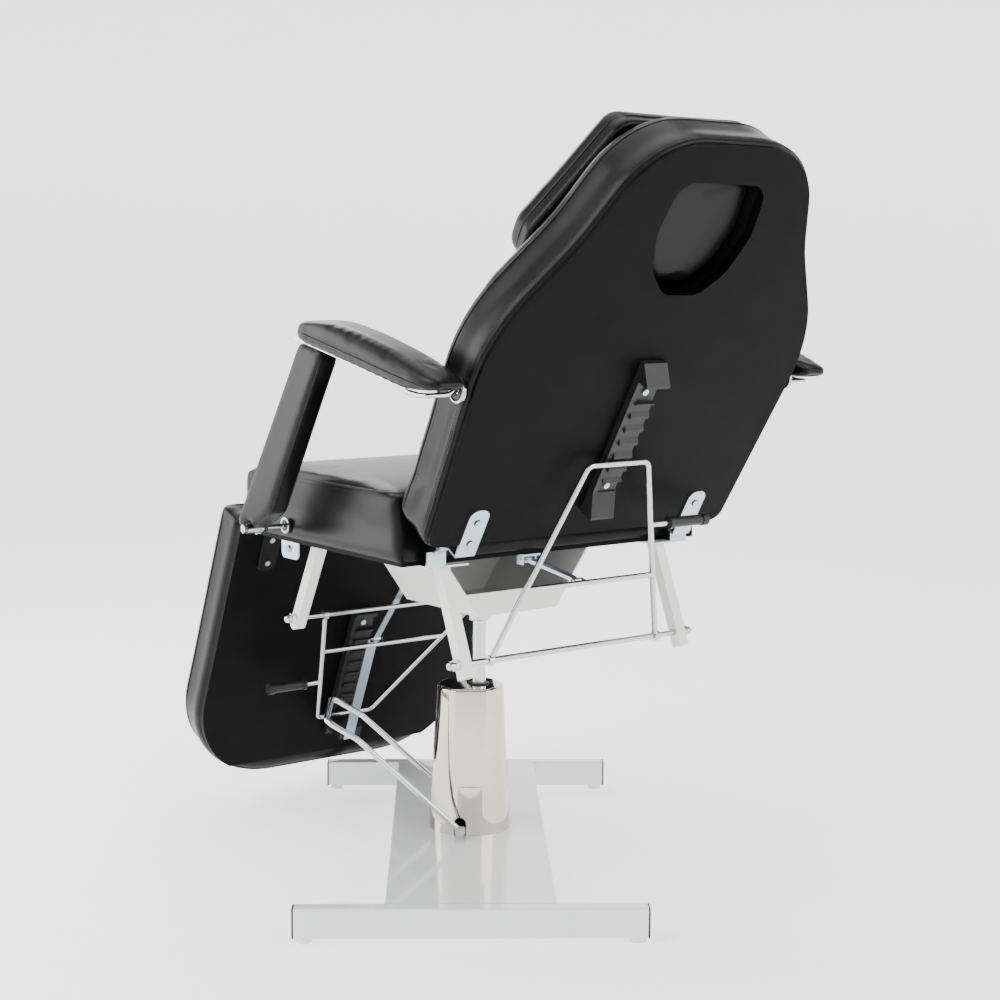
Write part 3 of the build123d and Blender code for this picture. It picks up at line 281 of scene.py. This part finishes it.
def filled_copy(name, cushion_node, board_node, plane):
    """Copy of a cushion in its panel's axes, with the space round its board filled to just behind the rim."""
    to_panel = plane.inverted()
    bm = bmesh.new()
    bm.from_mesh(NODES[cushion_node].data)
    bm.transform(to_panel)
    if board_node:
        other = bmesh.new()
        other.from_mesh(NODES[board_node].data)
        other.transform(to_panel)
        lowest = min(v.co.z for v in other.verts)
        for v in other.verts:
            rear = v.co.z < lowest + RIM_DEPTH
            v.co.z = max(v.co.z, lowest + BOARD_INSET) if rear else v.co.z + BOARD_OVERLAP
        part = bpy.data.meshes.new(name + "_part")
        other.to_mesh(part)
        bm.from_mesh(part)
        other.free()
        bpy.data.meshes.remove(part)
    data = bpy.data.meshes.new(name)
    bm.to_mesh(data)
    bm.free()
    return add_object(name, data)


def modify(obj, kind, **values):
    m = obj.modifiers.new("step", kind)
    for key, value in values.items():
        setattr(m, key, value)
    apply_modifiers(obj)


def swell(obj, cap, free, pressure=4.0, frames=20):
    """Puffs the skin as cloth under pressure. No point moves further than the cap, and held ones stay."""
    before = coordinates(obj.data)
    m = obj.modifiers.new("cloth", "CLOTH")
    s = m.settings
    s.quality = 4
    s.mass = 0.3
    s.tension_stiffness = s.compression_stiffness = 15
    s.shear_stiffness = 5
    s.bending_stiffness = 0.5
    s.use_pressure = True
    s.uniform_pressure_force = pressure
    s.effector_weights.gravity = 0.0
    m.collision_settings.use_collision = False
    m.collision_settings.use_self_collision = False
    m.point_cache.frame_start = 1
    m.point_cache.frame_end = frames
    for f in range(1, frames + 1):
        bpy.context.scene.frame_set(f)
    depsgraph = bpy.context.evaluated_depsgraph_get()
    swollen = bpy.data.meshes.new_from_object(obj.evaluated_get(depsgraph))
    moved = coordinates(swollen) - before
    obj.modifiers.clear()
    bpy.data.meshes.remove(swollen)
    bpy.context.scene.frame_set(1)
    length = np.maximum(np.linalg.norm(moved, axis=1, keepdims=True), 1e-9)
    set_coordinates(obj, before + moved * np.minimum(1.0, cap / length) * free(before)[:, None])


def crease(obj, height, scale, where, stretch=(1, 1, 1)):
    """Shallow soft folds where the vinyl is slack: 'where' gives 0 to 1 at each point."""
    co, normal = coordinates(obj.data), coordinates(obj.data, "normal")
    weight = where(co)
    fold = np.zeros(len(co))
    for i in np.nonzero(weight > 0.01)[0]:
        n = noise.noise(Vector(co[i] * np.array(stretch)) * scale)
        fold[i] = (1 - abs(n) * 2.2) * weight[i]
    set_coordinates(obj, co + normal * (fold * height)[:, None])


def ordered_loops(edges):
    """Closed or open runs of points from the edges of a cut."""
    links = {}
    for e in edges:
        for v, w in ((e.verts[0], e.verts[1]), (e.verts[1], e.verts[0])):
            links.setdefault(v, []).append(w)
    runs, left = [], set(links)
    while left:
        start = min(left, key=lambda v: v.index)
        run, here, before = [start], start, None
        left.discard(start)
        while True:
            ahead = [w for w in links[here] if w is not before and w in left]
            if not ahead:
                break
            before, here = here, ahead[0]
            left.discard(here)
            run.append(here)
        runs.append(np.array([v.co[:] for v in run]))
    return runs


def closed_run(run):
    """The run with its first point again at the end, and the length travelled at each point."""
    closed = np.vstack([run, run[:1]])
    lengths = np.linalg.norm(np.diff(closed, axis=0), axis=1)
    return closed, np.concatenate([[0], np.cumsum(lengths)])


def cut_loop(obj, point, normal):
    """The longest loop where a plane cuts the piece's skin, evenly spaced and smoothed."""
    bm = bmesh.new()
    bm.from_mesh(obj.data)
    everything = bm.verts[:] + bm.edges[:] + bm.faces[:]
    cut = bmesh.ops.bisect_plane(bm, geom=everything, plane_co=point, plane_no=normal)
    bm.verts.index_update()
    runs = ordered_loops([g for g in cut["geom_cut"] if isinstance(g, bmesh.types.BMEdge)])
    bm.free()
    run = max(runs, key=lambda r: np.linalg.norm(np.diff(r, axis=0), axis=1).sum())
    closed, along = closed_run(run)
    count = max(24, int(along[-1] / LOOP_PITCH))
    at = np.linspace(0, along[-1], count, endpoint=False)
    loop = np.stack([np.interp(at, along, closed[:, k]) for k in range(3)], axis=1)
    for _ in range(4):
        loop = loop * 0.5 + (np.roll(loop, 1, axis=0) + np.roll(loop, -1, axis=0)) * 0.25
    return loop


def tube(name, loop, radius, material, body, side_axis, sides=8):
    """Closed cord along the loop, such as piping sewn into a seam."""
    ahead = np.roll(loop, -1, axis=0) - np.roll(loop, 1, axis=0)
    ahead /= np.maximum(np.linalg.norm(ahead, axis=1, keepdims=True), 1e-9)
    out = np.cross(ahead, np.array(side_axis, float))
    out /= np.maximum(np.linalg.norm(out, axis=1, keepdims=True), 1e-9)
    up = np.cross(out, ahead)
    verts, faces, n = [], [], len(loop)
    for k in range(n):
        for j in range(sides):
            a = 2 * math.pi * j / sides
            verts.append(loop[k] + radius * (math.cos(a) * out[k] + math.sin(a) * up[k]))
    for k in range(n):
        here, there = k * sides, (k + 1) % n * sides
        for j in range(sides):
            i = (j + 1) % sides
            faces.append((here + j, there + j, there + i, here + i))
    data = mesh_of(name, verts, faces)
    bm = bmesh.new()
    bm.from_mesh(data)
    bmesh.ops.recalc_face_normals(bm, faces=bm.faces[:])
    bm.to_mesh(data)
    bm.free()
    finish_piece(add_object(name, data), material, body)


def stitches(name, loop, body, pitch=0.0065, length=0.0042, radius=0.00055, sides=6):
    """Row of single thread stitches laid along the loop."""
    verts, faces = [], []
    rings = ((-1.0, 0.0), (-0.7, 0.85), (0.0, 1.0), (0.7, 0.85), (1.0, 0.0))
    closed, along = closed_run(loop)
    for at in np.arange(0, along[-1] - pitch / 2, pitch):
        a, b = (np.array([np.interp(s, along, closed[:, k]) for k in range(3)])
                for s in (at, at + length))
        half = (b - a) / 2
        ahead = half / max(np.linalg.norm(half), 1e-9)
        one = np.cross(ahead, (0.31, 0.23, 0.92))
        one /= max(np.linalg.norm(one), 1e-9)
        two = np.cross(ahead, one)
        base = len(verts)
        for step_along, wide in rings:
            for j in range(sides if wide else 1):
                turn = 2 * math.pi * j / sides
                across = one * math.cos(turn) + two * math.sin(turn)
                verts.append((a + b) / 2 + half * step_along + across * radius * wide)
        last = base + 1 + 3 * sides
        for j in range(sides):
            i = (j + 1) % sides
            faces.append((base, base + 1 + i, base + 1 + j))
            faces.append((last, last - sides + j, last - sides + i))
            for k in range(2):
                row = base + 1 + k * sides
                faces.append((row + j, row + i, row + sides + i, row + sides + j))
    finish_piece(add_object(name, mesh_of(name, verts, faces)), THREAD, body)


def finish_piece(obj, material, body):
    for polygon in obj.data.polygons:
        polygon.use_smooth = True
    obj.data.materials.clear()
    obj.data.materials.append(material)
    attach(obj, body)


def upholstered(node_name, body, plane, voxel, shrink, cap, free,
                board=None, relax=3, folds=None, settle=2):
    """A cushion's vinyl skin: remeshed from its solid, puffed as cloth, relaxed, creased and subdivided."""
    obj = filled_copy(node_name + "_skin", node_name, board, plane)
    modify(obj, "REMESH", mode="VOXEL", voxel_size=voxel)
    modify(obj, "SMOOTH", factor=0.5, iterations=relax)
    set_coordinates(obj, coordinates(obj.data) - coordinates(obj.data, "normal") * shrink)
    swell(obj, cap, free)
    modify(obj, "SMOOTH", factor=0.5, iterations=settle)
    if folds is not None:
        folds(obj)
    modify(obj, "SUBSURF", levels=1, render_levels=1)
    obj.data.transform(plane)
    finish_piece(obj, VINYL, body)
    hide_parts(node_name)
    return obj


# How free each point of a skin is to swell, from 0 to 1, in its panel's axes.
def seat_free(p):
    return step(0.600, 0.640, p[:, 2])


def back_free(p):
    under_pillow = step(0.41, 0.44, p[:, 1]) * step(0.085, 0.095, p[:, 2])
    return step(0.018, 0.045, p[:, 2]) * (1 - 0.85 * under_pillow)


def leg_free(p):
    return step(0.018, 0.045, p[:, 2])


def pillow_free(p):
    return step(0.106, 0.125, p[:, 2])


def everywhere(p):
    return np.ones(len(p))


def seat_folds(obj):
    """Slack vinyl at the seat's rear corners."""
    def near_back(p):
        corner = step(0.16, 0.24, p[:, 1]) * step(0.62, 0.66, p[:, 2])
        return corner * step(0.22, 0.30, np.abs(p[:, 0])) * 0.9
    crease(obj, 0.0018, 26.0, near_back, (1, 1, 0.5))


def back_folds(obj):
    """Slack vinyl low on the backrest's sides."""
    def low_sides(p):
        return step(0.13, 0.03, p[:, 1]) * step(0.02, 0.05, p[:, 2]) * step(0.27, 0.31, np.abs(p[:, 0]))
    crease(obj, 0.003, 30.0, low_sides, (1, 0.5, 1))


def pad_folds(obj):
    """Draws an armrest's ends in to rounded tips and wrinkles its rear end."""
    co = coordinates(obj.data)
    middle = math.copysign(PAD_MID_X, co[:, 0].mean())
    front = np.clip((0.082 - co[:, 1]) / 0.049, 0, 1)
    rear = np.clip((co[:, 1] - 0.395) / 0.042, 0, 1)
    width = np.sqrt(1 - 0.80 * front**2) * np.sqrt(1 - 0.55 * rear**2)
    co[:, 0] = middle + (co[:, 0] - middle) * width
    sloping = PAD_FRONT_Z - PAD_SLOPE * (co[:, 1] - PAD_FRONT_Y)
    under = np.where(co[:, 1] < PAD_LEVEL_Y, sloping, PAD_LEVEL_Z)
    co[:, 2] = under + (co[:, 2] - under) * np.sqrt(1 - 0.70 * front**2)
    co[:, 1] += 0.009 * front
    set_coordinates(obj, co)

    def rear_end(p):
        return step(0.33, 0.40, p[:, 1]) * 0.9
    crease(obj, 0.0009, 45.0, rear_end, (1, 1, 0.6))


def panel_seam(name, skin, plane, depth, body, stitch, radius=0.0017):
    """Piping round a panel at one depth in its axes, with a stitched row beside it."""
    normal = plane.to_3x3() @ Vector((0, 0, 1))
    tube(name, cut_loop(skin, plane @ Vector((0, 0, depth)), normal), radius, PIPING, body, normal)
    beside = cut_loop(skin, plane @ Vector((0, 0, depth + stitch)), normal)
    stitches(name + "_thread", beside, body)


def seal_and_shadow_ring(name, centre, axis, inner, outer, thick, body, sides=40):
    """Thin black ring, used as a seal seen inside a washer and as a painted shadow round a screw."""
    turn = Vector(axis).normalized().to_track_quat("Z", "Y").to_matrix()
    chamfer = 0.0006
    profile = ((inner, -0.5), (outer, -0.5), (outer, 0.2), (outer - chamfer, 0.5),
               (inner + chamfer, 0.5), (inner, 0.2))
    verts, faces, n = [], [], len(profile)
    for k in range(sides):
        a = 2 * math.pi * k / sides
        for r, z in profile:
            point = Vector((r * math.cos(a), r * math.sin(a), z * thick))
            verts.append(Vector(centre) + turn @ point)
    for k in range(sides):
        here, there = k * n, (k + 1) % sides * n
        for j in range(n):
            i = (j + 1) % n
            faces.append((here + j, there + j, there + i, here + i))
    ring = add_object(name, mesh_of(name, verts, faces))
    # The same black plastic finish serves the seals and the painted shadow rings.
    finish_piece(ring, FINISH["black_plastic"], body)


seat = upholstered("seat_cushion", "seat", LEVEL, voxel=0.0085, shrink=0.002, cap=0.006,
                   free=seat_free, board="seat_board", folds=seat_folds)
back = upholstered("back_cushion", "backrest", BACK_FRAME, voxel=0.0075, shrink=0.002, cap=0.005,
                   free=back_free, board="back_board", relax=4, folds=back_folds)
leg = upholstered("leg_cushion", "leg_rest", LEG_FRAME, voxel=0.0085, shrink=0.002, cap=0.005,
                  free=leg_free, board="leg_board", relax=4)
upholstered("face_plug", "plug", BACK_FRAME, voxel=0.0045, shrink=0.0008, cap=0.0015,
            free=everywhere)
pillow = upholstered("headrest_pillow", "pillow", BACK_FRAME, voxel=0.006, shrink=0.002, cap=0.004,
                     free=pillow_free, relax=4)

panel_seam("seat_top_piping", seat, LEVEL, SEAT_TOP_SEAM, "seat", -0.007)
panel_seam("back_rear_piping", back, BACK_FRAME, 0.011, "backrest", 0.008)
panel_seam("back_front_piping", back, BACK_FRAME, 0.078, "backrest", -0.008)
panel_seam("leg_rear_piping", leg, LEG_FRAME, 0.010, "leg_rest", 0.008)
panel_seam("leg_front_piping", leg, LEG_FRAME, 0.068, "leg_rest", -0.008)
panel_seam("pillow_piping", pillow, BACK_FRAME, 0.128, "pillow", -0.007, radius=0.0015)

pad_plane = Matrix.Translation((0, PAD_FRONT_Y, PAD_FRONT_Z)) @ Matrix.Rotation(-math.atan(PAD_SLOPE), 4, "X")
pad_seam, pad_normal = pad_plane @ Vector((0, 0, 0.017)), pad_plane.to_3x3() @ Vector((0, 0, 1))
ACROSS = (1, 0, 0)
for side, sign in (("left", 1), ("right", -1)):
    post = upholstered(f"arm_post_cushion_{side}", f"arm_post_{side}", LEVEL, voxel=0.0045, shrink=0.0006,
                       cap=0.002, free=everywhere, relax=5)
    pad = upholstered(f"arm_pad_cushion_{side}", f"arm_pad_{side}", LEVEL, voxel=0.0045, shrink=0.0008,
                      cap=0.003, free=everywhere, relax=9, folds=pad_folds, settle=7)
    for edge, x in (("outer", 0.3885), ("inner", 0.3615)):
        loop = cut_loop(post, (sign * x, 0, 0), ACROSS)
        tube(f"arm_post_{edge}_piping_{side}", loop, 0.0013, PIPING, f"arm_post_{side}", ACROSS)
    tube(f"arm_pad_piping_{side}", cut_loop(pad, pad_seam, pad_normal), 0.0014, PIPING, f"arm_pad_{side}",
         (0, 0, 1))
    x, y, z = PIVOT
    ring = np.array([(sign * x, y + RING_RADIUS * math.cos(a), z + RING_RADIUS * math.sin(a))
                     for a in np.linspace(0, 2 * math.pi, 48, endpoint=False)])
    tube(f"arm_pivot_ring_{side}", ring, 0.0024, FINISH["bright_chrome"], "backrest", ACROSS,
         12)
    seal_and_shadow_ring(f"arm_pivot_seal_{side}", (sign * 0.3392, y, z), ACROSS, 0.0045, 0.0148, 0.0016, "backrest")
    seal_and_shadow_ring(f"arm_washer_seal_{side}", (sign * 0.3221, -0.126, 0.609), ACROSS, 0.0045, 0.0098, 0.0012, "seat")
# Painted shadow: thin black rings on the backrest's hinge bracket round each screw, standing in for the shade
# there.
for number, (x, t) in enumerate(itertools.product((-0.230, 0.230), (0.012, 0.052))):
    seal_and_shadow_ring(f"hinge_screw_shadow_{number}", BACK_FRAME @ Vector((x, t, -0.0033)), BACK_OUT,
         0.0042, 0.0062, 0.0010, "backrest")


# ---------------------------------------------------------------- floor, light and camera
FLAT_RADIUS, SWEEP_RADIUS, WALL_HEIGHT = 5.2, 1.8, 5.5
ROUND_STEPS, SWEEP_STEPS = 96, 12
# The floor's glow rises between two distances behind the object. Negative ones are on the camera's side.
GLOW_START, GLOW_FULL = -4.5, -1.0
GLOW_LOW, GLOW_HIGH = 0.22, 1.05
IMAGE_WIDTH, SENSOR_WIDTH, FOCAL_PIXELS = 1000, 36.0, 1822.22
CAMERA_AT = (1.9011, 2.5492, 1.0349)


def studio(away):
    """Pale floor that sweeps up into a wall all round, brightest behind the object."""
    profile = [(0.6, 0.0), (2.0, 0.0), (FLAT_RADIUS, 0.0)]
    for i in range(1, SWEEP_STEPS + 1):
        a = math.pi / 2 * i / SWEEP_STEPS
        profile.append((FLAT_RADIUS + SWEEP_RADIUS * math.sin(a), SWEEP_RADIUS * (1 - math.cos(a))))
    profile.append((FLAT_RADIUS + SWEEP_RADIUS, WALL_HEIGHT))
    verts, faces, n = [(0.0, 0.0, 0.0)], [], len(profile)
    for k in range(ROUND_STEPS):
        turn = 2 * math.pi * k / ROUND_STEPS
        verts += [(r * math.cos(turn), r * math.sin(turn), z) for r, z in profile]
    for k in range(ROUND_STEPS):
        here, there = 1 + k * n, 1 + (k + 1) % ROUND_STEPS * n
        faces.append((0, here, there))
        faces += [(here + j, here + j + 1, there + j + 1, there + j) for j in range(n - 1)]
    data = mesh_of("studio_floor", verts, faces)
    for polygon in data.polygons:
        polygon.use_smooth = True
    obj = add_object("studio_floor", data)
    mat, nodes, links, shader = new_material("studio_white")
    at = coords(nodes)
    cloudy = noise_of(nodes, links, at, 1.5)
    links.new(ramp(nodes, links, cloudy, [(0.3, grey(0.86)), (0.7, grey(0.88))]), shader.inputs["Base Color"])
    shader.inputs["Roughness"].default_value = 0.9
    shader.inputs["Specular IOR Level"].default_value = 0.1
    shader.inputs["Emission Color"].default_value = (1, 1, 1, 1)
    behind = nodes.new("ShaderNodeVectorMath")
    behind.operation = "DOT_PRODUCT"
    behind.inputs[1].default_value = away
    links.new(at, behind.inputs[0])
    glow = nodes.new("ShaderNodeMapRange")
    glow.interpolation_type = "SMOOTHSTEP"
    glow.inputs["From Min"].default_value = GLOW_START
    glow.inputs["From Max"].default_value = GLOW_FULL
    glow.inputs["To Min"].default_value = GLOW_LOW
    glow.inputs["To Max"].default_value = GLOW_HIGH
    links.new(behind.outputs["Value"], glow.inputs["Value"])
    links.new(glow.outputs["Result"], shader.inputs["Emission Strength"])
    data.materials.append(mat)


def area(name, at, target, size, power, size_y=None):
    light = bpy.data.lights.new(name, "AREA")
    light.shape = "RECTANGLE"
    light.size = size
    light.size_y = size_y or size
    light.energy = power
    obj = add_object(name, light)
    obj.location = at
    obj.rotation_mode = "QUATERNION"
    obj.rotation_quaternion = (target - at).to_track_quat("-Z", "Y")


YAW, PITCH, ROLL = map(math.radians, (37.352, 7.009, -0.459))
forward = Vector((-math.sin(YAW) * math.cos(PITCH), -math.cos(YAW) * math.cos(PITCH), -math.sin(PITCH)))
right = Vector((-math.cos(YAW), math.sin(YAW), 0.0))
down = forward.cross(right)
screen_right = math.cos(ROLL) * right + math.sin(ROLL) * down
screen_down = -math.sin(ROLL) * right + math.cos(ROLL) * down
studio((-math.sin(YAW), -math.cos(YAW), 0.0))

centre = Vector((0, 0, 0.6))
eye_side = Vector((math.sin(YAW), math.cos(YAW), 0))
area("key", centre + eye_side * 1.6 - right * 2.6 + Vector((0, 0, 2.4)), centre, 2.2, 95, size_y=1.8)
area("fill", centre + eye_side * 2.0 + right * 2.8 + Vector((0, 0, 1.3)), centre, 2.2, 55, size_y=1.8)
area("top", centre + Vector((0, 0, 3.0)), centre, 3.0, 70)
area("side", centre + Vector((1.75, -2.0, 0.45)), centre + Vector((0, 0, 0.1)), 1.1, 24, size_y=1.5)
area("rim", centre - eye_side * 2.6 - right * 1.2 + Vector((0, 0, 2.4)), centre, 2.0, 60, size_y=1.4)

world = bpy.data.worlds.new("studio")
bpy.context.scene.world = world
world.use_nodes = True
wn, wl = world.node_tree.nodes, world.node_tree.links
where = wn.new("ShaderNodeTexCoord")
split = wn.new("ShaderNodeSeparateXYZ")
wl.new(where.outputs["Generated"], split.inputs["Vector"])
height = wn.new("ShaderNodeMapRange")
height.inputs["From Min"].default_value = -1.0
wl.new(split.outputs["Z"], height.inputs["Value"])
SKY = [(0.0, grey(0.40)), (0.5, grey(0.16)), (0.60, grey(0.14)), (0.8, grey(0.6))]   # from below to above
sky = ramp(wn, wl, height.outputs["Result"], SKY)
wl.new(sky, wn["Background"].inputs["Color"])
wn["Background"].inputs["Strength"].default_value = 0.8

camera = bpy.data.cameras.new("camera")
camera.sensor_width = SENSOR_WIDTH
camera.lens = FOCAL_PIXELS / IMAGE_WIDTH * SENSOR_WIDTH
camera.clip_start, camera.clip_end = 0.05, 100
camera_obj = add_object("camera", camera)
axes = Matrix((screen_right, -screen_down, -forward)).transposed().to_4x4()
camera_obj.matrix_world = Matrix.Translation(CAMERA_AT) @ axes
bpy.context.scene.camera = camera_obj
